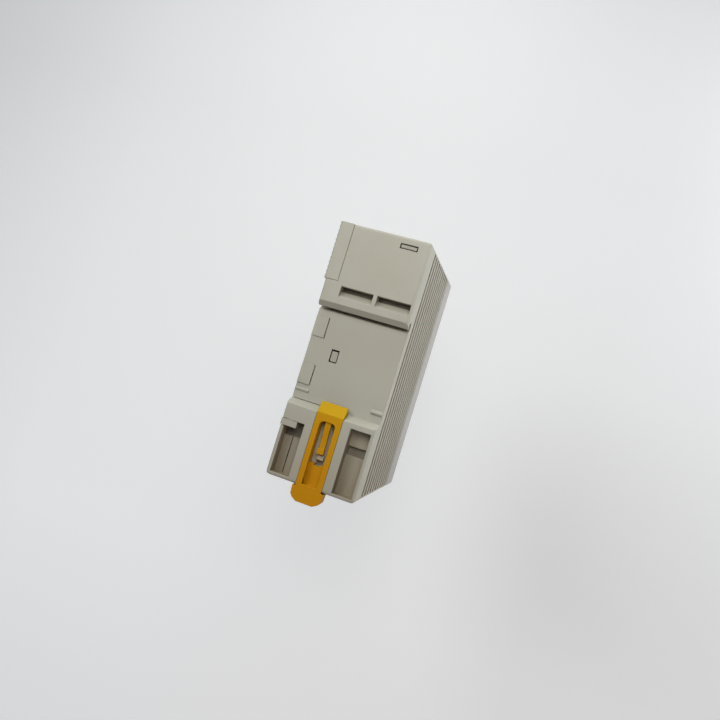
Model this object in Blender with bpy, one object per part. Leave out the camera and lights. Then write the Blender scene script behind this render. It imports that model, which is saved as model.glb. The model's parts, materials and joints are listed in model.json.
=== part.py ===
"""Two-pole circuit breaker for a 35 mm DIN rail, as separate named solids.

Frame: +Z is up as mounted, +Y points out of the back towards the rail, the toggles are at -Y, and the
grooved side is at -X. The origin is the middle of the seat that rests on the rail. Sizes are in
millimetres and become metres in the helper functions.
"""
import math

import bmesh
import bpy
from mathutils import Euler, Matrix, Vector

MM = 0.001
GAP = 0.3

# Case
WIDTH = 32.4
HEIGHT = 90.0
BACK_Y = 4.1
DEPTH = 70.0
FRONT_Y = BACK_Y - DEPTH
SEAM_Y = -50.9
WALL = 1.8
REAR_WALL = 2.4
EDGE_RADIUS = 1.2
HALF_W = WIDTH / 2
HALF_H = HEIGHT / 2
INNER_X = HALF_W - WALL
INNER_Z = HALF_H - WALL
INNER_Y = -REAR_WALL

# Rail channel: the lip hooks over the upper edge of a 35 mm rail
LIP_Z = 15.4
LIP_TOP_Z = 17.1
HOOK_TOP_Z = 17.6
FLOOR_TOP_Z = 14.75
FLOOR_CHAMFER = 0.35
CHANNEL_LOW_Z = -17.8
BLOCK_TOP_Z = -19.7
SLIT_Y = -1.2
LIP_INNER_Y = 1.3
LIP_EDGE_Y = 2.1

# Ramped slots above the lip: x ranges, lower and upper edges, where the ramp ends
SLOT_X = ((-2.0, 9.7), (-15.3, -3.45))
SLOT_LOW_Z = 19.6
SLOT_HIGH_Z = 23.3
SLOT_RAMP_Z = 21.7
SLOT_RAMP_Y = 1.5
SLOT_FLOOR_Y = -0.8

# Rear pockets: (x0, x1, low z, high z), and the deeper step across each: (low z, high z)
LEFT_POCKET = (7.7, 14.7, -43.6, -25.1)
LEFT_STEP = (-30.6, -25.1)
RIGHT_POCKET = (-15.2, -8.0, -43.8, -21.5)
RIGHT_STEP = (-30.4, -27.4)
STEP_Y = -1.4

# Low rounded ridges across the foot of the rail seat: x range, height, half width
RIDGE_Z = -14.3
RIDGES = {"left_ridge": (11.1, 16.1, 0.4, 0.6), "right_ridge": (-16.1, -12.0, 0.75, 0.8)}

# Grooved side
GROOVES = 11
GROOVE_FIRST_Y = BACK_Y - 10.96
GROOVE_PITCH = 4.4
GROOVE_WIDTH = 2.4
GROOVE_DEPTH = 0.8
GROOVE_END_Z = HALF_H - 1.3

# Snap tabs of the side cover: half height, centre heights
TAB_X = 11.6
TAB_HALF = 3.3
TAB_Z = (8.4, -8.6)
TAB_PROUD = 0.35

# Rail clip
CLIP_HALF = 4.55
CLIP_FLANGE = 5.7
FLANGE_Y = 1.3
FLANGE_TOP_Z = BLOCK_TOP_Z - 1.2
CLIP_BOTTOM_Z = -45.3
PULL_TAB_Z = -50.3
WINDOW_HALF = 2.8

# Front openings: toggle windows, indicator windows, screw holes and the label field
FRONT_WALL = 2.0
TOGGLE_WINDOW = (5.75, 8.9)
LENS_WINDOW_HALF = 2.2
LENS_WINDOW_Z = (-21.2, -17.8)
SCREW_HOLE_R = 3.7
LABEL_FIELD = (12.6, 13.5, 25.5)
LABEL_DEPTH = 0.3

# Poles
POLES = {"left": -7.2, "right": 7.2}
HANDLE_Y = -57.5
BARREL_R = 10.5
HANDLE_HALF = 5.4
PADDLE_TIP = 18.2
HANDLE_REST = math.radians(26.0)
PIN_R = 1.5
BAR_FRONT = -20.0
BAR_REAR = -14.4
BAR_HALF = 3.0
BAR_GROOVE_PITCH = 1.7
BAR_GROOVE_DEPTH = 0.45
CRANK = (-53.2, 0.2)
FORK = (-36.4, 3.2)
TRIP_Y = -38.5
TRIP_Z = 13.0
CRADLE_Y = -33.0
CRADLE_Z = -6.0
TERMINAL_Z = 35.5
SCREW_Y = -54.4
ENDS = {"upper": 1, "lower": -1}

BEIGE = (0.43, 0.42, 0.36)
BEIGE_LIGHT = (0.445, 0.435, 0.405)
AMBER = (0.58, 0.30, 0.01)
DARK = (0.03, 0.03, 0.035)
STEEL = (0.55, 0.56, 0.58)
COPPER = (0.72, 0.36, 0.20)
CREAM = (0.62, 0.58, 0.48)


def clear_scene():
    for thing in list(bpy.data.objects):
        bpy.data.objects.remove(thing, do_unlink=True)


def new_collection(name):
    collection = bpy.data.collections.new(name)
    bpy.context.scene.collection.children.link(collection)
    return collection


clear_scene()
PARTS = new_collection("circuit_breaker")
CUTTERS = new_collection("cutters")


def material(name, colour, roughness=0.5, metallic=0.0):
    found = bpy.data.materials.get(name)
    if found:
        return found
    made = bpy.data.materials.new(name)
    made.use_nodes = True
    shader = made.node_tree.nodes["Principled BSDF"]
    shader.inputs["Base Color"].default_value = (*colour, 1.0)
    shader.inputs["Roughness"].default_value = roughness
    shader.inputs["Metallic"].default_value = metallic
    return made


def plastic(name, colour):
    return material(name, colour, 0.5, 0.0)


def metal(name, colour):
    return material(name, colour, 0.35, 1.0)


def add_object(name, mesh, collection):
    thing = bpy.data.objects.new(name, mesh)
    collection.objects.link(thing)
    return thing


def box_mesh(name, boxes):
    """One mesh of separate boxes, each given as (x0, x1, y0, y1, z0, z1)."""
    bm = bmesh.new()
    for x0, x1, y0, y1, z0, z1 in boxes:
        size = Vector((x1 - x0, y1 - y0, z1 - z0)) * MM
        centre = Vector((x0 + x1, y0 + y1, z0 + z1)) * MM / 2
        matrix = Matrix.Translation(centre) @ Matrix.Diagonal((*size, 1.0))
        bmesh.ops.create_cube(bm, size=1.0, matrix=matrix)
    mesh = bpy.data.meshes.new(name)
    bm.to_mesh(mesh)
    bm.free()
    return mesh


def box(name, bounds, collection=PARTS):
    return add_object(name, box_mesh(name, [bounds]), collection)


def boxes(name, bounds, collection=CUTTERS):
    return add_object(name, box_mesh(name, bounds), collection)


def cylinder(name, radius, start, end, sides=24, collection=PARTS):
    """A cylinder between two points in millimetres."""
    a = Vector(start) * MM
    b = Vector(end) * MM
    turn = (b - a).to_track_quat("Z", "Y").to_matrix().to_4x4()
    matrix = Matrix.Translation((a + b) / 2) @ turn
    bm = bmesh.new()
    bmesh.ops.create_cone(bm, cap_ends=True, segments=sides, radius1=radius * MM,
                          radius2=radius * MM, depth=(b - a).length, matrix=matrix)
    mesh = bpy.data.meshes.new(name)
    bm.to_mesh(mesh)
    bm.free()
    mesh.shade_smooth()
    mesh.set_sharp_from_angle(angle=math.radians(35))
    return add_object(name, mesh, collection)


def circle(centre, radius, sides=24):
    """Points of a circle in the outline's plane."""
    cu, cv = centre
    turns = [2 * math.pi * i / sides for i in range(sides)]
    return [(cu + radius * math.cos(t), cv + radius * math.sin(t)) for t in turns]


def arc(centre, radius, start, end, steps):
    """Points of an arc between two angles in degrees."""
    cu, cv = centre
    turns = [math.radians(start + (end - start) * i / steps) for i in range(steps + 1)]
    return [(cu + radius * math.cos(t), cv + radius * math.sin(t)) for t in turns]


AXES = {
    "X": Euler((math.pi / 2, 0, math.pi / 2)),
    "Y": Euler((math.pi / 2, 0, 0)),
    "Z": Euler((0, 0, 0)),
}


def as_mesh(curve_object, collection):
    """Turn a curve object into a mesh object with welded caps."""
    bpy.context.view_layer.update()
    name = curve_object.name
    evaluated = curve_object.evaluated_get(bpy.context.evaluated_depsgraph_get())
    mesh = bpy.data.meshes.new_from_object(evaluated)
    matrix = curve_object.matrix_world.copy()
    bpy.data.objects.remove(curve_object, do_unlink=True)
    bm = bmesh.new()
    bm.from_mesh(mesh)
    bmesh.ops.transform(bm, matrix=matrix, verts=bm.verts)
    bmesh.ops.remove_doubles(bm, verts=bm.verts, dist=1e-6)
    bmesh.ops.recalc_face_normals(bm, faces=bm.faces)
    bm.to_mesh(mesh)
    bm.free()
    mesh.name = name
    return add_object(name, mesh, collection)


def outline(name, axis, low, high, rings, collection=PARTS):
    """A flat outline, with holes, extruded along an axis from low to high.

    The points are (y, z) for axis X, (x, z) for axis Y and (x, y) for axis Z.
    """
    curve = bpy.data.curves.new(name + "_outline", "CURVE")
    curve.dimensions = "2D"
    curve.fill_mode = "BOTH"
    curve.extrude = abs(high - low) / 2 * MM
    for ring in rings:
        spline = curve.splines.new("POLY")
        spline.points.add(len(ring) - 1)
        for point, (u, v) in zip(spline.points, ring):
            point.co = (u * MM, v * MM, 0.0, 1.0)
        spline.use_cyclic_u = True
    thing = bpy.data.objects.new(name, curve)
    collection.objects.link(thing)
    middle = (low + high) / 2 * MM
    place = {"X": (middle, 0, 0), "Y": (0, middle, 0), "Z": (0, 0, middle)}
    thing.rotation_euler = AXES[axis]
    thing.location = place[axis]
    return as_mesh(thing, collection)


def wire(name, points, radius, resolution=2, collection=PARTS):
    """A round wire along points in millimetres."""
    curve = bpy.data.curves.new(name + "_path", "CURVE")
    curve.dimensions = "3D"
    curve.bevel_depth = radius * MM
    curve.bevel_resolution = resolution
    curve.use_fill_caps = True
    spline = curve.splines.new("POLY")
    spline.points.add(len(points) - 1)
    for point, place in zip(spline.points, points):
        point.co = (place[0] * MM, place[1] * MM, place[2] * MM, 1.0)
    thing = bpy.data.objects.new(name, curve)
    collection.objects.link(thing)
    thing = as_mesh(thing, collection)
    thing.data.shade_smooth()
    return thing


def helix_y(centre_x, centre_z, radius, y0, y1, turns, steps):
    """Points of a helix along Y."""
    count = int(turns * steps)
    points = []
    for i in range(count + 1):
        t = 2 * math.pi * i / steps
        y = y0 + (y1 - y0) * i / count
        points.append((centre_x + radius * math.cos(t), y, centre_z + radius * math.sin(t)))
    return points


def boolean(thing, other, operation):
    other.hide_render = True
    other.display_type = "WIRE"
    if other.name not in CUTTERS.objects:
        for owner in list(other.users_collection):
            owner.objects.unlink(other)
        CUTTERS.objects.link(other)
    modifier = thing.modifiers.new(operation.lower() + "_" + other.name, "BOOLEAN")
    modifier.operation = operation
    modifier.solver = "EXACT"
    modifier.object = other


def cut(thing, *others):
    for other in others:
        boolean(thing, other, "DIFFERENCE")


def join(thing, *others):
    for other in others:
        boolean(thing, other, "UNION")


def finish(thing, finish_material, pivot=None):
    """Give a part its material and put its origin on its joint's axis."""
    thing.data.materials.clear()
    thing.data.materials.append(finish_material)
    if pivot is not None:
        place = Vector(pivot) * MM
        thing.data.transform(Matrix.Translation(-place))
        thing.location = place
    return thing


def rounded_case(name, y0, y1, face_y):
    """A block as wide and tall as the case, with every edge rounded but those of the seam."""
    bounds = (-HALF_W, HALF_W, y0, y1, -HALF_H, HALF_H)
    mesh = box_mesh(name, [bounds])
    bm = bmesh.new()
    bm.from_mesh(mesh)
    seam = y0 if face_y == y1 else y1
    edges = [e for e in bm.edges if not all(abs(v.co.y - seam * MM) < 1e-6 for v in e.verts)]
    bmesh.ops.bevel(bm, geom=edges, offset=EDGE_RADIUS * MM, segments=3, profile=0.5, affect="EDGES")
    bm.to_mesh(mesh)
    bm.free()
    return add_object(name, mesh, PARTS)


def base_case():
    """Rear wall with the rail channel and its blocks, top, bottom and the grooved side."""
    case = rounded_case("base_case", SEAM_Y, BACK_Y, BACK_Y)
    cavity = boxes("case_cavity", [(-INNER_X, HALF_W + 2, SEAM_Y - 2, INNER_Y, -INNER_Z, INNER_Z)])
    upper_hollow = boxes("upper_hollow", [(-INNER_X, TAB_X - 1.4, INNER_Y - 1, 2.1, 25.0, INNER_Z)])
    channel = outline("rail_channel", "X", -HALF_W - 2, HALF_W + 2, [[
        (BACK_Y + 2, LIP_TOP_Z), (BACK_Y, LIP_TOP_Z), (LIP_EDGE_Y, LIP_Z), (LIP_INNER_Y, LIP_Z),
        (LIP_INNER_Y, HOOK_TOP_Z), (SLIT_Y, HOOK_TOP_Z), (SLIT_Y, FLOOR_TOP_Z),
        (-FLOOR_CHAMFER, FLOOR_TOP_Z), (0, FLOOR_TOP_Z - FLOOR_CHAMFER), (0, CHANNEL_LOW_Z),
        (BACK_Y, BLOCK_TOP_Z), (BACK_Y + 2, BLOCK_TOP_Z),
    ]], CUTTERS)
    grooves = boxes("side_grooves", [
        (-HALF_W - 1, -HALF_W + GROOVE_DEPTH, y - GROOVE_WIDTH / 2, y + GROOVE_WIDTH / 2,
         -GROOVE_END_Z, GROOVE_END_Z)
        for y in (GROOVE_FIRST_Y - i * GROOVE_PITCH for i in range(GROOVES))])
    pockets = []
    for (x0, x1, z0, z1), (step_low, step_high) in ((LEFT_POCKET, LEFT_STEP), (RIGHT_POCKET, RIGHT_STEP)):
        pockets.append(boxes("pocket_%d" % x0, [(x0, x1, 0.0, BACK_Y + 1, z0, z1)]))
        pockets.append(boxes("pocket_step_%d" % x0, [(x0, x1, STEP_Y, 0.5, step_low, step_high)]))
    pocket_seam = boxes("pocket_seam", [(TAB_X - 0.15, TAB_X + 0.15, -0.8, 0.5, -43.4, -30.0)])
    cut(case, cavity, upper_hollow, channel, grooves, *pockets, pocket_seam, *rear_slots())
    block_seam = boxes("block_seam", [(CLIP_HALF, HALF_W - 0.6, -0.3, 0.5, CHANNEL_LOW_Z,
                                       CHANNEL_LOW_Z + 0.18)])
    cut(case, *clip_track(), tab_notches(), aux_notch(), snap_windows(), wire_entries(), block_seam)
    join(case, *(ridge(name, *sizes) for name, sizes in RIDGES.items()))
    join(case, boxes("clip_catch", [(-1.3, 1.1, -0.6, 1.3, -35.2, -33.6)]))
    cut(case, boxes("catch_hole", [(-1.4, 1.1, -1.4, 1.5, -37.2, -35.6)]))
    join(case, ear("case_ear", -1, INNER_X))
    finish(case, plastic("case_plastic", BEIGE))


def rear_slots():
    """Two slots whose floor is a ramp from the lower edge to a narrow trench at the upper edge."""
    return [outline("rear_slot_%d" % x0, "X", x0, x1, [[
        (BACK_Y + 1, SLOT_LOW_Z), (BACK_Y - 0.1, SLOT_LOW_Z), (SLOT_RAMP_Y, SLOT_RAMP_Z),
        (SLOT_FLOOR_Y, SLOT_RAMP_Z + 0.2), (SLOT_FLOOR_Y, SLOT_HIGH_Z), (BACK_Y + 1, SLOT_HIGH_Z)]],
        CUTTERS) for x0, x1 in SLOT_X]


def ridge(name, x0, x1, height, half):
    """A low rounded ridge on the rail seat."""
    crown = [(height * math.sin(angle), RIDGE_Z + half * math.cos(angle))
             for angle in (math.pi * step / 6 for step in range(7))]
    return outline(name, "X", x0, x1, [
        [(-0.5, RIDGE_Z + half)] + crown + [(-0.5, RIDGE_Z - half)]], CUTTERS)


def clip_track():
    """The track that the rail clip slides in: T-shaped up to where its flanges stop, then a plain slot."""
    slot = CLIP_HALF + GAP
    tee = CLIP_FLANGE + GAP
    return [
        boxes("clip_slot", [(-slot, slot, 0.0, BACK_Y + 1, -HALF_H - 2, CHANNEL_LOW_Z + 0.05)]),
        boxes("clip_tee", [(-tee, tee, 0.0, FLANGE_Y + GAP, -HALF_H - 3, FLANGE_TOP_Z + GAP)])]


def tab_notches():
    """Where the side cover's tabs and hook pass through the case."""
    notches = [(TAB_X - 0.15, HALF_W + 1, -4.0, 1.0, z - TAB_HALF - GAP, z + TAB_HALF + GAP)
               for z in TAB_Z]
    notches.append((INNER_X - 0.1, HALF_W + 1, -4.0, BACK_Y + 1, -27.7, -25.0))
    return boxes("tab_notches", notches)


def aux_notch():
    """The L-shaped step that the socket cover fills."""
    return outline("aux_notch", "Z", 24.6, HALF_H + 1, [[
        (TAB_X - 0.15, 2.1), (INNER_X - 0.1, 2.1), (INNER_X - 0.1, -24.5), (HALF_W + 1, -24.5),
        (HALF_W + 1, BACK_Y + 1), (TAB_X - 0.15, BACK_Y + 1)]], CUTTERS)


def snap_windows():
    return boxes("snap_windows", [
        (-12.0, -5.8, 0.0, BACK_Y + 1, 40.7, 42.5),
        (4.65, 7.5, -4.0, 1.0, -2.5, 2.0)])


def wire_entries():
    """Mouths in the top and bottom walls where the conductors go in."""
    bounds = []
    for x in POLES.values():
        for sign in ENDS.values():
            z0, z1 = sorted((sign * (INNER_Z - 1), sign * (HALF_H + 1)))
            bounds.append((x - 3.6, x + 3.6, -46.0, -39.2, z0, z1))
    return boxes("wire_entries", bounds)


def ear(name, side, wall_x):
    """A bearing ear that carries one end of the handle pin."""
    inner = side * (wall_x - 1.3)
    outer = side * (wall_x - GAP + 0.1)
    foot = side * (wall_x + 0.4)
    x0, x1 = sorted((inner, outer))
    f0, f1 = sorted((inner, foot))
    thing = outline(name, "X", x0, x1, [
        [(-48.0, -4.5), (-48.0, 4.5), (-58.0, 4.5), *arc((-58.0, 0.0), 4.5, 90, 270, 8)[1:-1],
         (-58.0, -4.5)],
        circle((HANDLE_Y, 0.0), PIN_R + GAP, 16)], CUTTERS)
    foot_block = boxes(name + "_foot", [(f0, f1, -50.4, -46.0, -4.5, 4.5)])
    join(thing, foot_block)
    return thing


def side_cover():
    """The smooth side, with the snap tabs that wrap on to the rear."""
    low = INNER_X + GAP
    x_out = HALF_W
    y_back = INNER_Y - GAP
    top = INNER_Z - GAP
    cover = outline("side_cover", "X", low, x_out, [[
        (SEAM_Y, -top), (y_back, -top), (y_back, 24.3), (-24.8, 24.3), (-24.8, top), (SEAM_Y, top)]])
    flush = x_out - 0.02
    root = low + 0.05
    for index, z in enumerate(TAB_Z):
        join(cover, outline("snap_tab_%d" % index, "Z", z - TAB_HALF, z + TAB_HALF, [[
            (root, y_back - 1), (flush, y_back - 1), (flush, TAB_PROUD), (TAB_X + 0.15, TAB_PROUD),
            (TAB_X + 0.15, -1.9), (root, -1.9)]], CUTTERS))
    join(cover, outline("pocket_hook", "Z", -27.4, -25.3, [[
        (root, y_back - 1), (flush, y_back - 1), (flush, BACK_Y), (10.4, BACK_Y), (10.4, 2.3),
        (root, 2.3)]], CUTTERS))
    join(cover, ear("cover_ear", 1, INNER_X + GAP))
    finish(cover, plastic("cover_plastic", BEIGE))


def aux_cover():
    """Small L-shaped cover over the socket for an auxiliary contact, with a ribbed side."""
    low_x = INNER_X + GAP
    out_x = HALF_W + 0.6
    cover = outline("aux_cover", "Z", 24.85, HALF_H - 0.05, [[
        (TAB_X + 0.15, 2.4), (low_x, 2.4), (low_x, -24.2), (out_x, -24.2), (out_x, 3.4),
        (out_x - 0.7, BACK_Y), (TAB_X + 0.15, BACK_Y)]])
    ribs = 12
    pitch = 1.6
    cut(cover, boxes("aux_ribs", [
        (out_x - 0.3, out_x + 1, -22.5, BACK_Y + 1, 26.0 + i * pitch, 26.7 + i * pitch)
        for i in range(ribs)]))
    finish(cover, plastic("cover_plastic", BEIGE))


def front_cover():
    """Front face with toggle windows, screw holes and indicator windows."""
    y_seam = SEAM_Y - GAP
    cover = rounded_case("front_cover", FRONT_Y, y_seam, FRONT_Y)
    inside = boxes("front_inside", [(-INNER_X - GAP, INNER_X + GAP, FRONT_Y + FRONT_WALL, y_seam + 2,
                                     -INNER_Z, INNER_Z)])
    cut(cover, inside)
    outer = FRONT_Y - 1
    through = FRONT_Y + FRONT_WALL + 1
    half_x, half_z = TOGGLE_WINDOW
    low, high = LENS_WINDOW_Z
    windows = []
    for x in POLES.values():
        windows.append((x - half_x, x + half_x, outer, through, -half_z, half_z))
        windows.append((x - LENS_WINDOW_HALF, x + LENS_WINDOW_HALF, outer, through, low, high))
    cut(cover, boxes("front_windows", windows))
    label_x, label_low, label_high = LABEL_FIELD
    cut(cover, boxes("label_field", [(-label_x, label_x, outer, FRONT_Y + LABEL_DEPTH,
                                      label_low, label_high)]))
    for pole, x in POLES.items():
        for end, sign in ENDS.items():
            z = sign * TERMINAL_Z
            cut(cover, cylinder("%s_%s_screw_hole" % (pole, end), SCREW_HOLE_R, (x, outer, z),
                                (x, through, z), 20, CUTTERS))
    finish(cover, plastic("front_plastic", BEIGE_LIGHT))


def din_clip():
    """The sliding clip: sprung hook, window with a tongue, recessed plate and pull tab."""
    clip = outline("din_clip", "X", -CLIP_HALF, CLIP_HALF, [[
        (BACK_Y, BLOCK_TOP_Z + 0.3), (2.0, -15.7), (1.3, -15.7), (1.3, CHANNEL_LOW_Z),
        (GAP, CHANNEL_LOW_Z - 0.4), (GAP, CLIP_BOTTOM_Z + 0.5), (BACK_Y, CLIP_BOTTOM_Z + 0.5)]])
    join(clip, boxes("clip_flanges", [
        (-CLIP_FLANGE, CLIP_FLANGE, GAP, FLANGE_Y, CLIP_BOTTOM_Z + 0.4, FLANGE_TOP_Z)]))
    half = CLIP_FLANGE
    join(clip, outline("pull_tab", "Y", 0.6, BACK_Y, [[
        (-half, CLIP_BOTTOM_Z), (-half + 0.2, -48.2), (-half + 1.0, -49.3), (-3.0, PULL_TAB_Z),
        (3.0, PULL_TAB_Z), (half - 1.0, -49.3), (half - 0.2, -48.2), (half, CLIP_BOTTOM_Z)]], CUTTERS))
    join(clip, boxes("clip_neck", [(-CLIP_HALF, CLIP_HALF, 0.8, BACK_Y - 0.02, -46.5, -44.0)]))
    corner = 1.4
    top = -22.0
    cut(clip, outline("clip_window", "Y", -1.0, BACK_Y + 1, [[
        (-WINDOW_HALF, -36.6), (-WINDOW_HALF, top - corner),
        *arc((-WINDOW_HALF + corner, top - corner), corner, 180, 90, 3)[1:],
        *arc((WINDOW_HALF - corner, top - corner), corner, 90, 0, 3),
        (WINDOW_HALF, -36.6)]], CUTTERS))
    cut(clip, boxes("plate_recess", [(-WINDOW_HALF, WINDOW_HALF, 2.0, BACK_Y + 1, -44.2, -36.0)]))
    cut(clip, boxes("plate_notch", [(-1.4, 1.1, -1.0, 3.0, -37.3, -36.0)]))
    join(clip, outline("spring_tongue", "X", -1.0, 1.0, [[
        (3.4, -21.6), (3.4, -23.4), (3.1, -25.4), (2.6, -27.6), (2.4, -29.4), (2.5, -31.3),
        (1.7, -31.3), (1.6, -29.4), (1.7, -27.6), (2.2, -25.2), (2.5, -23.4), (2.5, -21.6)]], CUTTERS))
    join(clip, boxes("tongue_tip", [(-1.2, 1.2, 1.7, 3.1, -33.1, -31.2)]))
    finish(clip, plastic("clip_plastic", AMBER))


def pole_partition():
    """The wall between the poles, with two tongues that snap into the rear wall."""
    top = INNER_Z - GAP
    wall = outline("pole_partition", "X", -0.75, 0.75, [
        [(FRONT_Y + FRONT_WALL + GAP, -top), (INNER_Y - GAP, -top), (INNER_Y - GAP, 38.0), (1.6, 38.0),
         (1.6, 42.1), (INNER_Y - GAP, 42.1), (INNER_Y - GAP, top), (FRONT_Y + FRONT_WALL + GAP, top)],
        circle((HANDLE_Y, 0.0), PIN_R + GAP, 16),
        circle((TRIP_Y, TRIP_Z), 3.0, 16)])
    join(wall, boxes("top_tongue_arm", [(-11.7, 0.5, -1.0, 1.7, 41.1, 42.08)]))
    join(wall, boxes("top_tongue_tip", [(-11.65, -6.15, 1.0, 3.9, 41.05, 42.12)]))
    join(wall, boxes("low_tongue_arm", [(0.0, 7.2, -4.4, -2.9, -2.2, 1.5)]))
    join(wall, boxes("low_tongue_tip", [(4.95, 7.15, -4.0, -0.2, -2.15, 1.45)]))
    finish(wall, plastic("inner_plastic", CREAM))


def handle(pole, x):
    """A toggle: a barrel on the handle pin with a paddle, modelled in the OFF position."""
    axis_y, half = HANDLE_Y, HANDLE_HALF
    lean = Matrix.Rotation(HANDLE_REST, 2)
    paddle = [lean @ Vector(p) for p in ((-6.0, -2.2), (-PADDLE_TIP, -1.7), (-PADDLE_TIP, 1.7),
                                         (-6.0, 2.2))]
    front = arc((axis_y, 0.0), BARREL_R, 100, 310, 24)
    rear = [(axis_y + 6.4, -3.0), (axis_y + 6.4, 3.0), (axis_y + 1.5, 7.2)]
    body = outline(pole + "_handle", "X", x - half, x + half, [
        front + rear, circle((axis_y, 0.0), PIN_R + GAP, 16)])
    join(body, outline(pole + "_paddle", "X", x - half + 0.4, x + half - 0.4,
                       [[(axis_y + p[0], p[1]) for p in paddle]], CUTTERS))
    cut(body, cylinder(pole + "_spring_recess", 4.6, (x - half - 1, axis_y, 0),
                       (x - half + 2.6, axis_y, 0), 20, CUTTERS))
    cut(body, boxes(pole + "_link_slot", [(x - 1.2, x + 1.2, axis_y + 2.5, axis_y + 12, -1.8, 9.5)]))
    join(body, cylinder(pole + "_crank_pin", 0.6, (x - 2, *CRANK), (x + 2, *CRANK), 12, CUTTERS))
    finish(body, plastic("handle_plastic", DARK), (x, axis_y, 0))


def link(pole, x):
    """Steel link from the toggle's crank pin to the carrier's fork, with an eye at each end."""
    slope = math.degrees(math.atan2(FORK[1] - CRANK[1], FORK[0] - CRANK[0]))
    ring = arc(CRANK, 1.5, slope + 90, slope + 270, 8) + arc(FORK, 1.9, slope - 90, slope + 90, 8)
    thing = outline(pole + "_link", "X", x - 0.8, x + 0.8, [
        ring, circle(CRANK, 0.9, 12), circle(FORK, 1.3, 12)])
    finish(thing, metal("steel", STEEL), (x, *CRANK))


def carrier(pole, x):
    """Moulded contact carrier that turns on its own two trunnions, with a fork for the link."""
    thing = outline(pole + "_carrier", "X", x - 3.4, x + 3.4, [[
        (CRADLE_Y - 3.0, CRADLE_Z - 1.4), (CRADLE_Y + 3.0, CRADLE_Z - 1.8),
        (CRADLE_Y + 6.4, CRADLE_Z + 2.0), (CRADLE_Y + 3.2, CRADLE_Z + 6.2),
        (FORK[0] + 2.2, FORK[1] + 1.5), (FORK[0] - 1.2, FORK[1] + 1.5), (FORK[0] - 1.5, FORK[1] - 1.6)]])
    cut(thing, boxes(pole + "_arm_slot", [(x - 1.8, x + 1.8, CRADLE_Y - 1.0, CRADLE_Y + 8,
                                           CRADLE_Z + 1.3, CRADLE_Z + 12)]))
    cut(thing, boxes(pole + "_fork_slot", [(x - 1.15, x + 1.15, FORK[0] - 4.0, FORK[0] + 2.8,
                                            FORK[1] - 3.0, FORK[1] + 4.0)]))
    join(thing, cylinder(pole + "_trunnion", 1.4, (x - 5.0, CRADLE_Y, CRADLE_Z),
                         (x + 5.0, CRADLE_Y, CRADLE_Z), 16, CUTTERS))
    join(thing, cylinder(pole + "_fork_pin", 0.6, (x - 2.2, *FORK), (x + 2.2, *FORK), 12, CUTTERS))
    finish(thing, plastic("inner_dark", DARK), (x, CRADLE_Y, CRADLE_Z))


def contact_arm(pole, x):
    """Moving contact: copper arm whose tip rises to the fixed contact."""
    thing = outline(pole + "_contact_arm", "X", x - 1.4, x + 1.4, [[
        (CRADLE_Y - 0.6, CRADLE_Z + 1.7), (CRADLE_Y + 7.0, CRADLE_Z + 2.9), (-13.6, -2.2),
        (-11.0, -1.4), (-11.0, 0.2), (-12.2, 1.0), (-14.6, 0.6), (CRADLE_Y + 6.2, CRADLE_Z + 5.0),
        (CRADLE_Y - 0.6, CRADLE_Z + 4.0)]])
    finish(thing, metal("copper", COPPER), (x, CRADLE_Y, CRADLE_Z))


def helix_x(centre_y, centre_z, radius, x0, x1, turns, steps):
    """Points of a helix along X."""
    count = int(turns * steps)
    points = []
    for i in range(count + 1):
        t = 2 * math.pi * i / steps
        points.append((x0 + (x1 - x0) * i / count, centre_y + radius * math.cos(t),
                       centre_z + radius * math.sin(t)))
    return points


def contact_spring(pole, x):
    """Torsion spring round the carrier's trunnion, which presses the contacts together."""
    points = helix_x(CRADLE_Y, CRADLE_Z, 2.0, x + 4.0, x + 5.3, 2, 9)
    thing = wire(pole + "_contact_spring", points, 0.25, 0)
    finish(thing, metal("spring_steel", STEEL))


def handle_spring(pole, x):
    """Torsion spring in the toggle's side recess."""
    start = x - HANDLE_HALF + 0.6
    thing = wire(pole + "_handle_spring", helix_x(HANDLE_Y, 0.0, 3.1, start, start + 1.4, 2, 9), 0.3, 0)
    finish(thing, metal("spring_steel", STEEL))


def fixed_contact(pole, x):
    """Copper strip from the coil's rear end down to the fixed contact."""
    thing = outline(pole + "_fixed_contact", "X", x - 2.2, x + 2.2, [[
        (-15.4, 5.6), (-11.0, 5.6), (-11.0, 6.5), (-6.4, 6.5), (-6.4, 27.6), (-7.6, 27.6), (-7.6, 7.7),
        (-15.4, 7.7)]])
    finish(thing, metal("copper", COPPER))


def bobbin(pole, x):
    """Plastic tube that the coil is wound on and the plunger slides in."""
    thing = outline(pole + "_bobbin", "Y", -27.6, -10.2, [
        circle((x, 20.5), 3.2, 16), circle((x, 20.5), 2.3, 16)])
    finish(thing, plastic("inner_plastic", CREAM))


def coil(pole, x):
    """Magnetic trip coil round its plunger."""
    points = helix_y(x, 20.5, 4.3, -26.4, -11.6, 6, 10)
    thing = wire(pole + "_coil", points, 0.75, 1)
    finish(thing, metal("copper_wire", COPPER))


def yoke(pole, x):
    """Steel frame round the coil."""
    thing = outline(pole + "_yoke", "X", x - 4.4, x + 4.4, [[
        (-29.6, 14.6), (-28.0, 14.6), (-28.0, 26.6), (-9.8, 26.6), (-9.8, 14.6), (-8.2, 14.6),
        (-8.2, 28.2), (-29.6, 28.2)]])
    cut(thing, cylinder(pole + "_plunger_hole", 2.3, (x, -31, 20.5), (x, -27, 20.5), 16, CUTTERS))
    finish(thing, metal("steel", STEEL))


def plunger(pole, x):
    """Steel plunger that is pulled against the trip bar by a short circuit."""
    thing = cylinder(pole + "_plunger", 1.9, (x, -33.2, 20.5), (x, -17.0, 20.5), 16)
    finish(thing, metal("steel", STEEL))


def plunger_spring(pole, x):
    thing = wire(pole + "_plunger_spring", helix_y(x, 20.5, 1.4, -16.4, -10.4, 4, 7), 0.28, 0)
    finish(thing, metal("spring_steel", STEEL))


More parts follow.
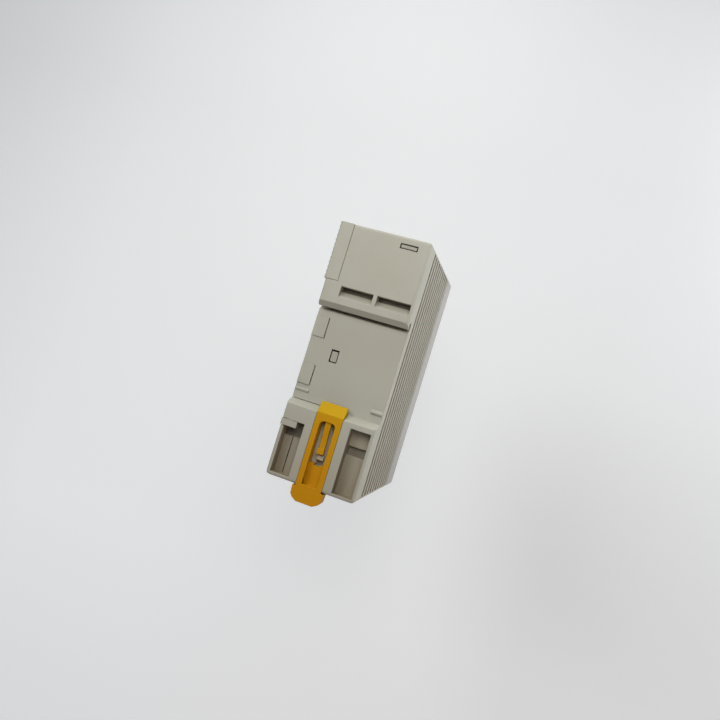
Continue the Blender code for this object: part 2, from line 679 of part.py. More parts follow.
def latch(pole, x):
    """Steel latch lever between the trip bar and the contact carrier."""
    thing = outline(pole + "_latch", "X", x + 3.9, x + 5.1, [
        [(-45.6, 0.4), (-43.4, 0.4), (-42.8, 6.0), (-41.4, 8.2), (-43.4, 9.4), (-45.8, 7.0)],
        circle((-44.4, 4.0), 0.8, 12)])
    finish(thing, metal("steel", STEEL), (x, -44.4, 4.0))


def trip_bar():
    """Common trip bar: a shaft through the partition with a finger and a foot for each pole."""
    shaft = cylinder("trip_bar", 2.4, (-13.6, TRIP_Y, TRIP_Z), (13.6, TRIP_Y, TRIP_Z), 20)
    for pole, x in POLES.items():
        join(shaft, boxes(pole + "_trip_finger", [(x - 1.6, x + 1.6, TRIP_Y + 0.2, TRIP_Y + 2.2,
                                                   TRIP_Z + 1.0, TRIP_Z + 10.0)]))
        join(shaft, boxes(pole + "_trip_foot", [(x - 5.0, x - 1.6, TRIP_Y - 1.6, TRIP_Y + 0.2,
                                                 TRIP_Z - 5.4, TRIP_Z - 1.0)]))
    finish(shaft, plastic("inner_plastic", CREAM), (0, TRIP_Y, TRIP_Z))


def bimetal(pole, x):
    """Bimetal strip that bends against the trip bar's foot on overload."""
    thing = box(pole + "_bimetal", (x - 4.8, x - 1.8, -41.6, -40.8, -25.6, 9.8))
    finish(thing, metal("bimetal", STEEL))


def load_bar(pole, x):
    """Copper bar from the bimetal's foot into the lower terminal."""
    thing = outline(pole + "_load_bar", "X", x - 2.9, x + 2.9, [[
        (-41.9, -27.2), (-41.9, -24.4), (-43.1, -24.4), (-43.1, -27.2), (-46.4, -27.2), (-46.4, -40.4),
        (-45.2, -40.4), (-45.2, -28.4), (-40.4, -28.4), (-40.4, -27.2)]])
    finish(thing, metal("copper", COPPER))


def line_bar(pole, x):
    """Copper bar from the upper terminal to the coil's front end."""
    thing = outline(pole + "_line_bar", "X", x - 2.9, x + 2.9, [[
        (-46.4, 40.4), (-46.4, 27.8), (-34.0, 27.8), (-34.0, 30.6), (-35.2, 30.6), (-35.2, 29.0),
        (-45.2, 29.0), (-45.2, 40.4)]])
    finish(thing, metal("copper", COPPER))


def braid(pole, x):
    """Flexible copper braid from the contact arm's tail to the bimetal."""
    route = [Vector((x + 0.2, CRADLE_Y - 4.6, CRADLE_Z - 3.6)), Vector((x - 0.6, -38.4, -13.0)),
             Vector((x - 2.2, -37.0, -20.0)), Vector((x - 3.2, -39.4, -23.0))]
    points = []
    steps = 9
    for i in range(steps + 1):
        t = i / steps
        s = 1 - t
        weights = (s ** 3, 3 * s * s * t, 3 * s * t * t, t ** 3)
        points.append(sum((p * w for p, w in zip(route, weights)), Vector((0, 0, 0))))
    thing = wire(pole + "_braid", points, 0.9, 1)
    finish(thing, metal("braid_copper", COPPER))


def arc_chute(pole, x):
    """Fibre cards holding the splitter plates that cool the arc."""
    cards = outline(pole + "_arc_chute", "Z", -25.4, -8.2, [[
        (x - 5.6, -22.6), (x + 5.6, -22.6), (x + 5.6, -9.0), (x - 5.6, -9.0)]])
    plates = 6
    pitch = 2.8
    gaps = []
    for i in range(plates - 1):
        z = -25.4 + 0.9 + i * pitch + (17.2 - 0.9 - 5 * pitch) / 2
        gaps.append((x - 4.9, x + 4.9, -24.0, -7.0, z, z + pitch - 0.9))
    cut(cards, boxes(pole + "_plate_gaps", gaps))
    finish(cards, metal("zinc_steel", STEEL))


def arc_runner(pole, x):
    """Steel runner that leads the arc from the carrier down to the chute's foot."""
    thing = outline(pole + "_arc_runner", "X", x - 2.0, x + 2.0, [[
        (-24.4, -9.8), (-23.4, -9.8), (-23.4, -27.0), (-8.0, -27.0), (-8.0, -28.0), (-24.4, -28.0)]])
    finish(thing, metal("zinc_steel", STEEL))


def cage(pole, end, x, sign):
    """Steel cage that draws the conductor against the bar as its screw is turned."""
    z0, z1 = sorted((sign * 31.6, sign * 39.4))
    thing = outline("%s_%s_cage" % (pole, end), "Z", z0, z1, [
        [(x - 4.8, -50.0), (x + 4.8, -50.0), (x + 4.8, -38.4), (x - 4.8, -38.4)],
        [(x - 3.6, -48.6), (x + 3.6, -48.6), (x + 3.6, -39.6), (x - 3.6, -39.6)]])
    z = sign * TERMINAL_Z
    cut(thing, cylinder("%s_%s_thread" % (pole, end), 2.25, (x, -51, z), (x, -48, z), 16, CUTTERS))
    finish(thing, metal("zinc_steel", STEEL))


def screw(pole, end, x, sign):
    """Terminal screw with a cross-slot head."""
    z = sign * TERMINAL_Z
    name = "%s_%s_screw" % (pole, end)
    profile = [(0.0, -57.2), (2.7, -57.2), (3.1, -56.8), (3.1, SCREW_Y), (1.95, SCREW_Y),
               (1.95, -47.2), (1.5, -46.8), (0.0, -46.8)]
    bm = bmesh.new()
    verts = [bm.verts.new((r * MM, 0.0, y * MM)) for r, y in profile]
    edges = [bm.edges.new(pair) for pair in zip(verts, verts[1:])]
    bmesh.ops.spin(bm, geom=verts + edges, cent=(0, 0, 0), axis=(0, 0, 1), angle=2 * math.pi, steps=16)
    bmesh.ops.remove_doubles(bm, verts=bm.verts, dist=1e-6)
    bmesh.ops.recalc_face_normals(bm, faces=bm.faces)
    turn = Matrix.Rotation(-math.pi / 2, 4, "X")
    bmesh.ops.transform(bm, matrix=Matrix.Translation((x * MM, 0, z * MM)) @ turn, verts=bm.verts)
    mesh = bpy.data.meshes.new(name)
    bm.to_mesh(mesh)
    bm.free()
    thing = add_object(name, mesh, PARTS)
    cut(thing, boxes(name + "_slots", [(x - 2.2, x + 2.2, -58.0, -56.0, z - 0.4, z + 0.4)]))
    cut(thing, boxes(name + "_cross", [(x - 0.4, x + 0.4, -58.0, -56.0, z - 2.2, z + 2.2)]))
    finish(thing, metal("screw_steel", STEEL), (x, SCREW_Y, z))


def flag(pole, x):
    """Indicator flag that slides behind the front window with the contacts."""
    thing = box(pole + "_flag", (x - 2.7, x + 2.7, FRONT_Y + 2.4, FRONT_Y + 3.4, -25.8, -14.4))
    finish(thing, plastic("flag_plastic", (0.02, 0.25, 0.05)))


def lens(pole, x):
    """Clear window in front of the indicator flag."""
    half = LENS_WINDOW_HALF - GAP
    low, high = LENS_WINDOW_Z
    thing = box(pole + "_lens", (x - half, x + half, FRONT_Y + 0.4, FRONT_Y + FRONT_WALL - 0.1,
                                 low + GAP, high - GAP))
    finish(thing, material("lens_plastic", (0.85, 0.88, 0.9), 0.1))


def handle_pin():
    reach = INNER_X - GAP - 0.2
    pin = cylinder("handle_pin", PIN_R, (-reach, HANDLE_Y, 0), (reach, HANDLE_Y, 0), 16)
    finish(pin, metal("steel", STEEL))


def tie_bar():
    """Bridge over both paddles, so that the poles switch together, with finger grooves along its front."""
    lean = Matrix.Rotation(HANDLE_REST, 2)
    front = [(BAR_FRONT, -BAR_HALF)]
    for groove in (-BAR_GROOVE_PITCH, 0.0, BAR_GROOVE_PITCH):
        front += [(BAR_FRONT, groove - 0.5), (BAR_FRONT + BAR_GROOVE_DEPTH, groove - 0.3),
                  (BAR_FRONT + BAR_GROOVE_DEPTH, groove + 0.3), (BAR_FRONT, groove + 0.5)]
    front.append((BAR_FRONT, BAR_HALF))
    ring = front + [(BAR_REAR, BAR_HALF), (BAR_REAR, 2.2), (-PADDLE_TIP - GAP, 2.1),
                    (-PADDLE_TIP - GAP, -2.1), (BAR_REAR, -2.2), (BAR_REAR, -BAR_HALF)]
    points = [lean @ Vector(p) for p in ring]
    reach = POLES["right"] + HANDLE_HALF
    bar = outline("tie_bar", "X", -reach, reach, [[(HANDLE_Y + p[0], p[1]) for p in points]])
    finish(bar, plastic("handle_plastic", DARK), (0, HANDLE_Y, 0))


def build():
    base_case()
    side_cover()
    aux_cover()
    front_cover()
    din_clip()
    pole_partition()
    handle_pin()
    tie_bar()
    trip_bar()
    for pole, x in POLES.items():
        handle(pole, x)
        link(pole, x)
        carrier(pole, x)
        contact_arm(pole, x)
        contact_spring(pole, x)
        fixed_contact(pole, x)
        bobbin(pole, x)
        coil(pole, x)
        yoke(pole, x)
        plunger(pole, x)
        plunger_spring(pole, x)
        handle_spring(pole, x)
        latch(pole, x)
        bimetal(pole, x)
        load_bar(pole, x)
        line_bar(pole, x)
        braid(pole, x)
        arc_chute(pole, x)
        arc_runner(pole, x)
        flag(pole, x)
        lens(pole, x)
        for end, sign in ENDS.items():
            cage(pole, end, x, sign)
            screw(pole, end, x, sign)


build()
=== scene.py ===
"""Looks of the two-pole circuit breaker: edges, finishes, soft studio light and the view from behind.

The frame's solids keep their shapes and places. Copies with rounded edges and close seams stand in for the
visible pieces, and every piece gets a procedural finish; most finishes carry painted shade or painted
highlights.
Lengths are in metres, in the frame's own axes: +Z up, +Y out of the back.
"""
import json
import math

import bmesh
import bpy
from mathutils import Matrix, Vector

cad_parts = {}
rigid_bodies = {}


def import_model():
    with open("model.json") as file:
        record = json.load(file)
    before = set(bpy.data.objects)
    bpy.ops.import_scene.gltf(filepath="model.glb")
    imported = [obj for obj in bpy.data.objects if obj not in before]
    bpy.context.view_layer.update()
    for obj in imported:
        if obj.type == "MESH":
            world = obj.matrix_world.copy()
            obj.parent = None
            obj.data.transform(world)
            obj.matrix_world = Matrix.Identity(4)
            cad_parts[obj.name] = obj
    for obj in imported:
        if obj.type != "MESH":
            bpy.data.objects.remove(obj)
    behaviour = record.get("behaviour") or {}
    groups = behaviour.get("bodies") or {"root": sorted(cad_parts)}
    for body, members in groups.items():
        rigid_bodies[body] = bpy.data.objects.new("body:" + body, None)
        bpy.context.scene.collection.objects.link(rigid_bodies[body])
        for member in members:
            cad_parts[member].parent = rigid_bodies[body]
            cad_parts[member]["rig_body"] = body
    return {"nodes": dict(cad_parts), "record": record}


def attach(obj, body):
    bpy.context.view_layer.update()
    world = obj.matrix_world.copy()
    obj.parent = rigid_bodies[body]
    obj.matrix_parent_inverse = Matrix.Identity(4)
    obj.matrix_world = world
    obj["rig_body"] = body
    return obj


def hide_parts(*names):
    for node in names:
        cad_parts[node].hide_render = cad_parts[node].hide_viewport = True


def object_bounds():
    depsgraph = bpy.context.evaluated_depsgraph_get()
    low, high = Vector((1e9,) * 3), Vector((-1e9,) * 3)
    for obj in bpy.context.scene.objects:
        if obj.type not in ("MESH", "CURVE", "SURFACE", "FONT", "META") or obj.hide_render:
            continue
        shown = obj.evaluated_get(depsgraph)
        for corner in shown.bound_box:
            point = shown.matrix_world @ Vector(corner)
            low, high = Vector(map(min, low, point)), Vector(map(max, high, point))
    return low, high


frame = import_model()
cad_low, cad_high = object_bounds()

MM = 0.001
X, Y, Z = 0, 1, 2
NODES = frame["nodes"]

# Camera: place, direction, turn about that direction, and lens in millimetres
EYE = Vector((-56.1, 211.9, -2.5)) * MM
SIGHT = Vector((0.2427, -0.9699, 0.0168))
ROLL = math.radians(17.1)
LENS = 32.16
SENSOR = 36.0
NEAR = 0.01

# Room: the backdrop glows a little, by one amount that grows along X and one that grows downwards
BACKDROP_Y = -0.19
BACKDROP_SIZE = 3.0
PAPER = (0.80, 0.80, 0.81)
PAPER_LIGHT = (0.93, 0.97, 1.0)
PAPER_GLOW = (0.22, 0.38)
PAPER_GLOW_SPAN = (-0.1, 0.25)
PAPER_RISE = (-0.08, 0.08)
PAPER_RISE_SPAN = (-0.15, 0.15)
ROOM_COLOUR = (0.97, 0.985, 1.0)
ROOM_BRIGHTNESS = 0.75

# Soft lamps: tilt from the camera's axis and turn about it from the image's top towards its right, in degrees,
# distance and size in metres, power in watts, colour
LAMPS = {
    "window": (88, 75, 0.42, 0.28, 1.14, (0.97, 0.98, 1.0)),
    "ceiling": (24, 15, 0.27, 0.16, 0.29, (0.97, 0.95, 0.90)),
    "top_fill": (80, 0, 0.36, 0.20, 0.38, (1.0, 0.99, 0.96)),
    "upper_left_fill": (55, 318, 0.60, 0.35, 1.20, (0.98, 1.0, 0.98)),
    "lower_fill": (65, 180, 0.60, 0.35, 0.86, (1.0, 0.87, 0.83)),
}

# Colours
BEIGE = (0.45, 0.442, 0.376)
FRONT_GREY = (0.445, 0.435, 0.405)
AMBER = (0.61, 0.36, 0.001)
# Next: the clip's tint in painted shade towards its lower end, darker and more orange than its lit hook
AMBER_SHADED = (0.60, 0.265, 0.005)
CREAM = (0.62, 0.58, 0.48)
BLACK = (0.022, 0.022, 0.025)
FLAG_GREEN = (0.02, 0.22, 0.05)
CLEAR = (0.86, 0.90, 0.92)
STEEL = (0.56, 0.57, 0.58)
ZINC = (0.60, 0.61, 0.60)
COPPER = (0.72, 0.34, 0.19)
ENAMEL = (0.42, 0.13, 0.045)

# Noise scales of the finishes' details
FLOW_MARKS = 45
SPECKS = 900
DULL_SPOTS = 220
GRAIN = 3200
DRAWN_LINES = 2600
BRAID_STRANDS = 1800
STAINS = 260
CLOUDS = 300
SCRATCHES = 1500
PAPER_CLOUDS = 1.6
PAPER_FIBRES = 1500

# Where a painted shade or painted light on the mouldings starts and where it is full, along one axis
# Next: painted shade, towards the lower end
LOW_SHADE_SPAN = (-17 * MM, -40 * MM)
# Next: painted light above the clip's crease, painted shade below it
CLIP_CREASE_SHADE = (-19.3 * MM, -19.8 * MM)
# Next: painted shade in the rear pockets and their steps
POCKET_TOP = (-20 * MM, -24 * MM)
POCKET_BOTTOM = (-44.4 * MM, -44.2 * MM)
POCKET_OUTER_SIDE = (15.36 * MM, 15.26 * MM)
POCKET_INNER_SIDE = (6.4 * MM, 6.8 * MM)
POCKET_STEP = (-0.4 * MM, -1.2 * MM)
# Next: painted shade in the side grooves
GROOVED_SIDE = (-15.1 * MM, -15.35 * MM)
# Next: painted light on the clip's track
TRACK_SIDE = (3.0 * MM, 3.6 * MM)
TRACK_TOP = (-19 * MM, -22 * MM)

# Reach and limits of the crevice masks, which paint shade into hollows, slits and seams
POCKET_CREVICE = (12 * MM, 0.25, 0.88)
GROOVE_CREVICE = (3.0 * MM, 0.40, 0.68)
WIDE_CREVICE = (5.0 * MM, 0.15, 0.58)
FINE_CREVICE = (1.6 * MM, 0.08, 0.40)

# Width of the rounding on each piece's edges, in millimetres
EDGE_WIDTHS = {
    "base_case": 0.12, "side_cover": 0.12, "aux_cover": 0.12, "front_cover": 0.15, "din_clip": 0.32,
    "tie_bar": 0.2, "left_handle": 0.25, "right_handle": 0.25, "trip_bar": 0.1,
}
POLE_EDGE_WIDTHS = {
    "carrier": 0.25, "link": 0.1, "contact_arm": 0.12, "yoke": 0.12, "upper_cage": 0.15, "lower_cage": 0.15,
    "upper_screw": 0.1, "lower_screw": 0.1, "latch": 0.08, "load_bar": 0.08, "line_bar": 0.08,
}
for side in ("left_", "right_"):
    for part, width in POLE_EDGE_WIDTHS.items():
        EDGE_WIDTHS[side + part] = width

# Which edges are rounded, and which stay sharp to the light
WELD = 0.001 * MM
FLAT_ANGLE = math.radians(0.5)
EDGE_ANGLE = math.radians(25)
SHORTEST_EDGE = 0.5 * MM
SHARP_ANGLE = math.radians(48)

# The seams, in millimetres: where a face is in the solid and where the copy holds it
COVER_EDGE = (11.75, 11.62)
COVER_HOOK = (-25.3, -25.18)
AUX_EDGE = (11.75, 11.57)
AUX_END = (24.85, 24.68)
TAB_HEIGHTS = (8.4, -8.6)
TAB_HALVES = (3.3, 3.61)
CLIP_HALVES = (4.55, 4.74)

# Which points of such a face move with it, in millimetres: those nearer the rear, or between the clip's ends
COVER_EDGE_REAR = -2.0
TABS_REAR = -3.8
AUX_EDGE_REAR = 2.0
AUX_END_REAR = -25.0
CLIP_STRIPS = (-45.0, -15.0)
SHIFT_REACH = 0.02 * MM


# ---------------------------------------------------------------- finishes

class Finish:
    """A material with short helpers for wiring its nodes."""

    def __init__(self, name, roughness, metallic=0.0):
        self.material = bpy.data.materials.new(name)
        self.material.use_nodes = True
        self.tree = self.material.node_tree
        self.shader = self.tree.nodes["Principled BSDF"]
        self.shader.inputs["Metallic"].default_value = metallic
        self.shader.inputs["Roughness"].default_value = roughness
        self.place = self.node("ShaderNodeTexCoord").outputs["Object"]

    def node(self, kind, **settings):
        made = self.tree.nodes.new(kind)
        for key, value in settings.items():
            setattr(made, key, value)
        return made

    def link(self, source, target):
        self.tree.links.new(source, target)

    def axes(self):
        """The place along each axis, as three sockets."""
        split = self.node("ShaderNodeSeparateXYZ")
        self.link(self.place, split.inputs["Vector"])
        return split.outputs

    def stretched(self, x, y, z):
        mapping = self.node("ShaderNodeMapping")
        mapping.inputs["Scale"].default_value = (x, y, z)
        self.link(self.place, mapping.inputs["Vector"])
        return mapping.outputs["Vector"]

    def noise(self, scale, detail=3.0, roughness=0.5, place=None):
        noise = self.node("ShaderNodeTexNoise")
        noise.inputs["Scale"].default_value = scale
        noise.inputs["Detail"].default_value = detail
        noise.inputs["Roughness"].default_value = roughness
        self.link(place or self.place, noise.inputs["Vector"])
        return noise.outputs["Fac"]

    def span(self, value, low, high, to_low, to_high):
        """Map a value's range low..high to another range."""
        mapped = self.node("ShaderNodeMapRange")
        for key, number in (("From Min", low), ("From Max", high), ("To Min", to_low), ("To Max", to_high)):
            mapped.inputs[key].default_value = number
        self.link(value, mapped.inputs["Value"])
        return mapped.outputs["Result"]

    def crevice(self, reach, low, high):
        """1 deep in grooves and corners, 0 in the open."""
        hidden = self.node("ShaderNodeAmbientOcclusion", samples=6)
        hidden.inputs["Distance"].default_value = reach
        return self.span(hidden.outputs["AO"], low, high, 1.0, 0.0)

    def compute(self, operation, *values):
        made = self.node("ShaderNodeMath", operation=operation)
        for index, value in enumerate(values):
            self.link(value, made.inputs[index])
        return made.outputs[0]

    def all_of(self, first, *others):
        """A mask that is on where every one of these is on."""
        for other in others:
            first = self.compute("MULTIPLY", first, other)
        return first

    def mix(self, factor, first, second):
        """Mix two colours, each a tuple or a socket."""
        mixed = self.node("ShaderNodeMix", data_type="RGBA")
        self.link(factor, mixed.inputs["Factor"])
        for socket, value in ((mixed.inputs[6], first), (mixed.inputs[7], second)):
            if isinstance(value, tuple):
                socket.default_value = (*value, 1.0)
            else:
                self.link(value, socket)
        return mixed.outputs[2]

    def soft_edges(self, radius):
        """Normals that round the edges a little more than the mesh does."""
        bevel = self.node("ShaderNodeBevel", samples=4)
        bevel.inputs["Radius"].default_value = radius
        return bevel.outputs["Normal"]

    def edge_mask(self, soft):
        """1 on outer and inner edges, 0 on flat faces."""
        flat = self.node("ShaderNodeNewGeometry").outputs["Normal"]
        dot = self.node("ShaderNodeVectorMath", operation="DOT_PRODUCT")
        self.link(flat, dot.inputs[0])
        self.link(soft, dot.inputs[1])
        return self.span(dot.outputs["Value"], 0.995, 0.8, 0.0, 1.0)

    def bump(self, height, distance, strength, normal=None):
        bump = self.node("ShaderNodeBump")
        bump.inputs["Strength"].default_value = strength
        bump.inputs["Distance"].default_value = distance
        self.link(height, bump.inputs["Height"])
        if normal is not None:
            self.link(normal, bump.inputs["Normal"])
        return bump.outputs["Normal"]

    def done(self, colour, normal, roughness=None):
        self.link(colour, self.shader.inputs["Base Color"])
        self.link(normal, self.shader.inputs["Normal"])
        if roughness is not None:
            self.link(roughness, self.shader.inputs["Roughness"])
        return self.material


def tinted(colour, factor, warm=0.0):
    """A colour made lighter or darker, and warmer or cooler."""
    r, g, b = colour
    return (min(r * factor * (1 + warm), 1.0), min(g * factor, 1.0), min(b * factor * (1 - warm), 1.0))


def moulded(name, colour, roughness=0.55, grain=0.012, edge_highlight=1.12, shaded_low_colour=None, gloss=0.5,
            shaded_below_crease=False, recess_shading=False):
    """Moulded plastic: spark-eroded grain, faint flow marks, a painted highlight along the edges and dull spots.

    Given a colour for the lower end, painted shade turns the tint to it towards the part's lower end, and more
    sharply below the crease where asked, so the part above the crease looks lit. Where asked, painted shade
    darkens the rear pockets, their steps and the side grooves, and painted light pales the clip's track.
    """
    f = Finish(name, roughness)
    f.shader.inputs["Specular IOR Level"].default_value = gloss
    soft = f.soft_edges(0.35 * MM)
    axes = f.axes()
    flow = f.span(f.noise(FLOW_MARKS, 4.0), 0.35, 0.65, 0.0, 1.0)
    base = f.mix(flow, tinted(colour, 0.965, 0.012), tinted(colour, 1.03, -0.006))
    # Painted shade: the tint darkens towards the lower end
    if shaded_low_colour:
        base = f.mix(f.span(axes["Z"], *LOW_SHADE_SPAN, 0.0, 1.0), base, shaded_low_colour)
    # Painted light and shade: below the crease the tint turns darker, so the part above it looks lit
    if shaded_below_crease:
        base = f.mix(f.span(axes["Z"], *CLIP_CREASE_SHADE, 0.0, 0.55), base, shaded_low_colour)
    speck = f.span(f.noise(SPECKS, 2.0), 0.62, 0.72, 0.0, 0.25)
    base = f.mix(speck, base, tinted(colour, 0.86, 0.03))
    # Painted highlight: edges lighter than the faces
    base = f.mix(f.edge_mask(soft), base, tinted(colour, edge_highlight))
    # Painted shade in the rear pockets, their steps and the side grooves
    if recess_shading:
        base = painted_recess_shade(f, base, colour, axes)
    # Painted shade: corners and hollows darker and warmer
    base = f.mix(f.crevice(*WIDE_CREVICE), base, tinted(colour, 0.62, 0.10))
    # Painted light on the clip's track
    if recess_shading:
        base = painted_track_light(f, base, colour, axes)
    # Painted shade: narrow slits and seams nearly black
    base = f.mix(f.crevice(*FINE_CREVICE), base, tinted(colour, 0.12, 0.20))
    rough = f.span(f.noise(DULL_SPOTS, 3.0), 0.3, 0.7, roughness - 0.07, roughness + 0.08)
    return f.done(base, f.bump(f.noise(GRAIN, 3.0, 0.6), grain * MM, 1.0, soft), rough)


def painted_recess_shade(f, base, colour, axes):
    """Paint shade into the two rear pockets, the steps in them and the grooves of the side, darkening them."""
    outwards = f.compute("ABSOLUTE", axes["X"])
    pockets = f.all_of(f.span(axes["Z"], *POCKET_TOP, 0.0, 1.0), f.span(axes["Z"], *POCKET_BOTTOM, 0.0, 1.0),
                       f.span(outwards, *POCKET_OUTER_SIDE, 0.0, 1.0),
                       f.span(outwards, *POCKET_INNER_SIDE, 0.0, 1.0))
    base = f.mix(f.all_of(pockets, f.crevice(*POCKET_CREVICE)), base, tinted(colour, 0.42, 0.33))
    steps = f.all_of(pockets, f.span(axes["Y"], *POCKET_STEP, 0.0, 0.8))
    base = f.mix(steps, base, tinted(colour, 0.25, 0.16))
    grooves = f.all_of(f.span(axes["X"], *GROOVED_SIDE, 0.0, 1.0), f.crevice(*GROOVE_CREVICE))
    return f.mix(grooves, base, tinted(colour, 0.26, 0.30))


def painted_track_light(f, base, colour, axes):
    """Paint light onto the wall behind the clip's window, where the clip slides over it, so it stays pale under
    the painted crevice shade.
    """
    outwards = f.compute("ABSOLUTE", axes["X"])
    track = f.all_of(f.span(outwards, *TRACK_SIDE, 0.8, 0.0), f.span(axes["Z"], *TRACK_TOP, 0.0, 1.0))
    return f.mix(track, base, tinted(colour, 1.15, 0.06))


def brushed(name, colour, roughness=0.32, along=(1.0, 1.0, 0.06), scale=DRAWN_LINES):
    """Rolled or plated metal with fine drawn lines, faint stains and a painted highlight along its edges."""
    f = Finish(name, roughness, 1.0)
    soft = f.soft_edges(0.2 * MM)
    lines = f.noise(scale, 3.0, 0.6, f.stretched(*along))
    stain = f.span(f.noise(STAINS, 4.0), 0.42, 0.68, 0.0, 0.6)
    base = f.mix(stain, colour, tinted(colour, 0.72, 0.05))
    # Painted highlight: edges lighter than the faces
    base = f.mix(f.edge_mask(soft), base, tinted(colour, 1.25))
    rough = f.span(lines, 0.3, 0.7, roughness - 0.1, roughness + 0.14)
    return f.done(base, f.bump(lines, 0.006 * MM, 0.7, soft), rough)


def clear(name, colour):
    """Clear moulded plastic with fine scratches and a faint tint that varies."""
    f = Finish(name, 0.06)
    f.shader.inputs["Transmission Weight"].default_value = 1.0
    f.shader.inputs["IOR"].default_value = 1.49
    clouds = f.span(f.noise(CLOUDS, 3.0), 0.4, 0.6, 0.0, 1.0)
    base = f.mix(clouds, colour, tinted(colour, 0.94, 0.01))
    scratches = f.noise(SCRATCHES, 2.0, 0.6, f.stretched(1.0, 1.0, 0.08))
    return f.done(base, f.bump(scratches, 0.002 * MM, 0.4), f.span(scratches, 0.3, 0.7, 0.03, 0.14))


def paper(name, colour):
    """The pale table top: almost plain, and glowing a little more towards +X and towards the bottom."""
    f = Finish(name, 0.7)
    clouds = f.span(f.noise(PAPER_CLOUDS, 1.0), 0.35, 0.65, 0.0, 1.0)
    base = f.mix(clouds, tinted(colour, 0.985), tinted(colour, 1.0, -0.01))
    axes = f.axes()
    f.shader.inputs["Emission Color"].default_value = (*PAPER_LIGHT, 1.0)
    glow = f.compute("ADD", f.span(axes["X"], *PAPER_GLOW_SPAN, *PAPER_GLOW),
                     f.span(axes["Y"], *PAPER_RISE_SPAN, *PAPER_RISE))
    f.link(glow, f.shader.inputs["Emission Strength"])
    return f.done(base, f.bump(f.noise(PAPER_FIBRES, 2.0), 0.01 * MM, 0.3))


def make_finishes():
    # Painted shade towards the lower end of the case and its covers
    shaded_low_beige = tinted(BEIGE, 0.84, 0.045)
    return {
        # Case and covers: painted shade in pockets and grooves, painted light on the clip's track
        "case_plastic": moulded("case_plastic", BEIGE, shaded_low_colour=shaded_low_beige, recess_shading=True),
        "cover_plastic": moulded("cover_plastic", tinted(BEIGE, 1.01), shaded_low_colour=shaded_low_beige, recess_shading=True),
        # Painted shade towards the lower end of the front cover
        "front_plastic": moulded("front_plastic", FRONT_GREY, shaded_low_colour=tinted(FRONT_GREY, 0.80)),
        # The clip: a painted highlight along its edges, painted shade below its crease and towards its lower end
        "clip_plastic": moulded("clip_plastic", AMBER, 0.45, 0.006, 1.15, AMBER_SHADED, 0.15, shaded_below_crease=True),
        "inner_plastic": moulded("inner_plastic", CREAM, 0.5),
        "partition_plastic": moulded("partition_plastic", tinted(BEIGE, 0.88)),
        "inner_dark": moulded("inner_dark", BLACK, 0.5),
        # Black handles: a strong painted highlight along their edges
        "handle_plastic": moulded("handle_plastic", BLACK, 0.38, 0.008, 1.8),
        "lens_plastic": clear("lens_plastic", CLEAR),
        "flag_plastic": moulded("flag_plastic", FLAG_GREEN, 0.45),
        "steel": brushed("steel", STEEL),
        "spring_steel": brushed("spring_steel", tinted(STEEL, 0.8), 0.25),
        "screw_steel": brushed("screw_steel", ZINC, 0.28, (1.0, 0.1, 1.0)),
        "zinc_steel": brushed("zinc_steel", ZINC, 0.38),
        "bimetal": brushed("bimetal", tinted(STEEL, 0.9, 0.05), 0.3),
        "copper": brushed("copper", COPPER, 0.3),
        "copper_wire": brushed("copper_wire", ENAMEL, 0.22),
        "braid_copper": brushed("braid_copper", COPPER, 0.45, (1.0, 1.0, 1.0), BRAID_STRANDS),
    }


def dress_nodes(finishes):
    """Give every solid of the frame its procedural finish."""
    for entry in frame["record"]["subparts"]:
        node = NODES[entry["node"]]
        node.material_slots[0].material = finishes[entry["material_slot"]]
    NODES["pole_partition"].material_slots[0].material = finishes["partition_plastic"]


# ---------------------------------------------------------------- edges

def cover_shifts():
    """The side cover's tabs fit their notches more closely than the solids, which keep clear of each other."""
    shifts = [(X, *COVER_EDGE, lambda p: p.y > COVER_EDGE_REAR), (Z, *COVER_HOOK, lambda p: p.y > TABS_REAR)]
    for height in TAB_HEIGHTS:
        for sign in (1, -1):
            old, new = (height + sign * half for half in TAB_HALVES)
            shifts.append((Z, old, new, lambda p: p.y > TABS_REAR))
    return shifts


def clip_shifts():
    """The clip's long sides run closer to the walls of its track."""
    return [(X, *(sign * half for half in CLIP_HALVES), lambda p: CLIP_STRIPS[0] < p.z < CLIP_STRIPS[1])
            for sign in (1, -1)]


# Flat faces that the copies hold nearer to their neighbours: axis, old place, new place, which points
SHIFTS = {
    "side_cover": cover_shifts(),
    "aux_cover": [(X, *AUX_EDGE, lambda p: p.y > AUX_EDGE_REAR), (Z, *AUX_END, lambda p: p.y > AUX_END_REAR)],
    "din_clip": clip_shifts(),
}


def round_edges(node_name, width):
    """A copy of a solid with rounded edges and close seams, which takes the solid's place."""
    node = NODES[node_name]
    mesh = node.data.copy()
    bm = bmesh.new()
    bm.from_mesh(mesh)
    bmesh.ops.remove_doubles(bm, verts=bm.verts, dist=WELD)
    bmesh.ops.dissolve_limit(bm, angle_limit=FLAT_ANGLE, verts=bm.verts, edges=bm.edges)
    for axis, old, new, inside in SHIFTS.get(node_name, ()):
        for vert in bm.verts:
            if abs(vert.co[axis] - old * MM) < SHIFT_REACH and inside(vert.co / MM):
                vert.co[axis] = new * MM
    edges = [e for e in bm.edges if e.is_manifold and e.is_convex
             and e.calc_face_angle() > EDGE_ANGLE and e.calc_length() > SHORTEST_EDGE]
    bmesh.ops.bevel(bm, geom=edges, offset=width, offset_type="OFFSET", segments=2, profile=0.5,
                    affect="EDGES", clamp_overlap=True)
    bm.to_mesh(mesh)
    bm.free()
    if mesh.attributes.get("custom_normal"):
        mesh.attributes.remove(mesh.attributes["custom_normal"])
    mesh.shade_smooth()
    mesh.set_sharp_from_angle(angle=SHARP_ANGLE)
    piece = bpy.data.objects.new(node_name + "_shell", mesh)
    bpy.context.scene.collection.objects.link(piece)
    weighted = piece.modifiers.new("weighted_normals", "WEIGHTED_NORMAL")
    weighted.keep_sharp = True
    weighted.weight = 100
    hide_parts(node_name)
    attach(piece, node["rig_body"])


# ---------------------------------------------------------------- stage

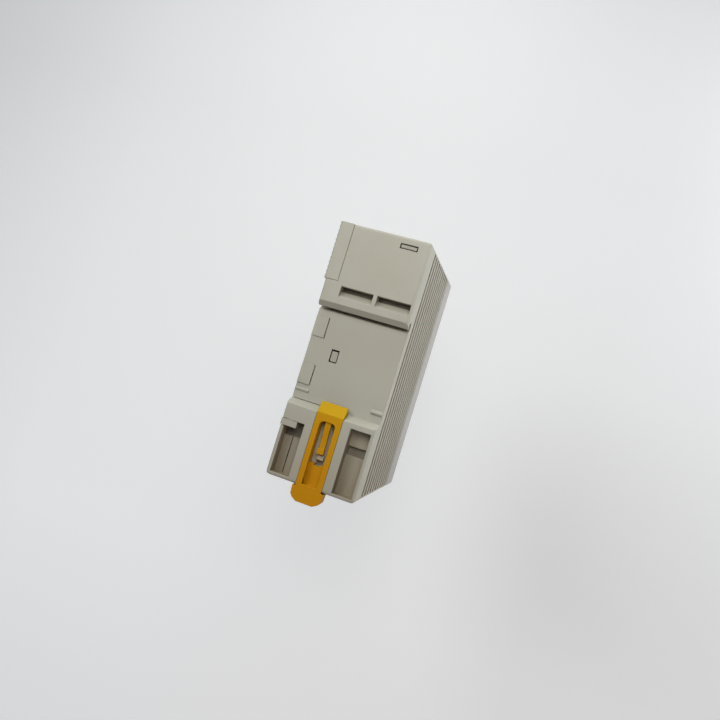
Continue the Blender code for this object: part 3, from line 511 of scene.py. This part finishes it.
def backdrop():
    bpy.ops.mesh.primitive_plane_add(size=BACKDROP_SIZE, location=(0, BACKDROP_Y, 0),
                                     rotation=(math.radians(-90), 0, 0))
    sheet = bpy.context.active_object
    sheet.name = "table_top"
    sheet.data.materials.append(paper("table_top", PAPER))


def room():
    """A plain pale room: it shows behind the object and in glossy reflections, and the lamps do the lighting."""
    world = bpy.data.worlds.new("room")
    bpy.context.scene.world = world
    world.use_nodes = True
    background = world.node_tree.nodes["Background"]
    background.inputs["Color"].default_value = (*ROOM_COLOUR, 1.0)
    background.inputs["Strength"].default_value = ROOM_BRIGHTNESS
    world.cycles_visibility.diffuse = False


def camera():
    data = bpy.data.cameras.new("camera")
    data.lens = LENS
    data.sensor_width = SENSOR
    data.clip_start = NEAR
    made = bpy.data.objects.new("camera", data)
    bpy.context.scene.collection.objects.link(made)
    turn = SIGHT.to_track_quat("-Z", "Y").to_matrix().to_4x4()
    made.matrix_world = Matrix.Translation(EYE) @ turn @ Matrix.Rotation(ROLL, 4, "Z")
    bpy.context.scene.camera = made
    return made


def area_light(name, direction, distance, size, power, colour):
    """A soft round light that points at the middle of the object."""
    data = bpy.data.lights.new(name, "AREA")
    data.shape = "DISK"
    data.size = size
    data.energy = power
    data.color = colour
    lamp = bpy.data.objects.new(name, data)
    bpy.context.scene.collection.objects.link(lamp)
    direction = direction.normalized()
    lamp.location = (cad_low + cad_high) / 2 + direction * distance
    lamp.rotation_euler = (-direction).to_track_quat("-Z", "Y").to_euler()
    lamp.visible_camera = False


def lamps(eye):
    axes = eye.matrix_world.to_3x3()
    for name, (tilt, turn, distance, size, power, colour) in LAMPS.items():
        tilt, turn = math.radians(tilt), math.radians(turn)
        direction = axes @ Vector((math.sin(tilt) * math.sin(turn), math.sin(tilt) * math.cos(turn),
                                   math.cos(tilt)))
        area_light(name, direction, distance, size, power, colour)


def studio():
    bpy.context.scene.view_settings.view_transform = "Standard"
    backdrop()
    room()
    lamps(camera())


dress_nodes(make_finishes())
for name, width in EDGE_WIDTHS.items():
    round_edges(name, width * MM)
studio()
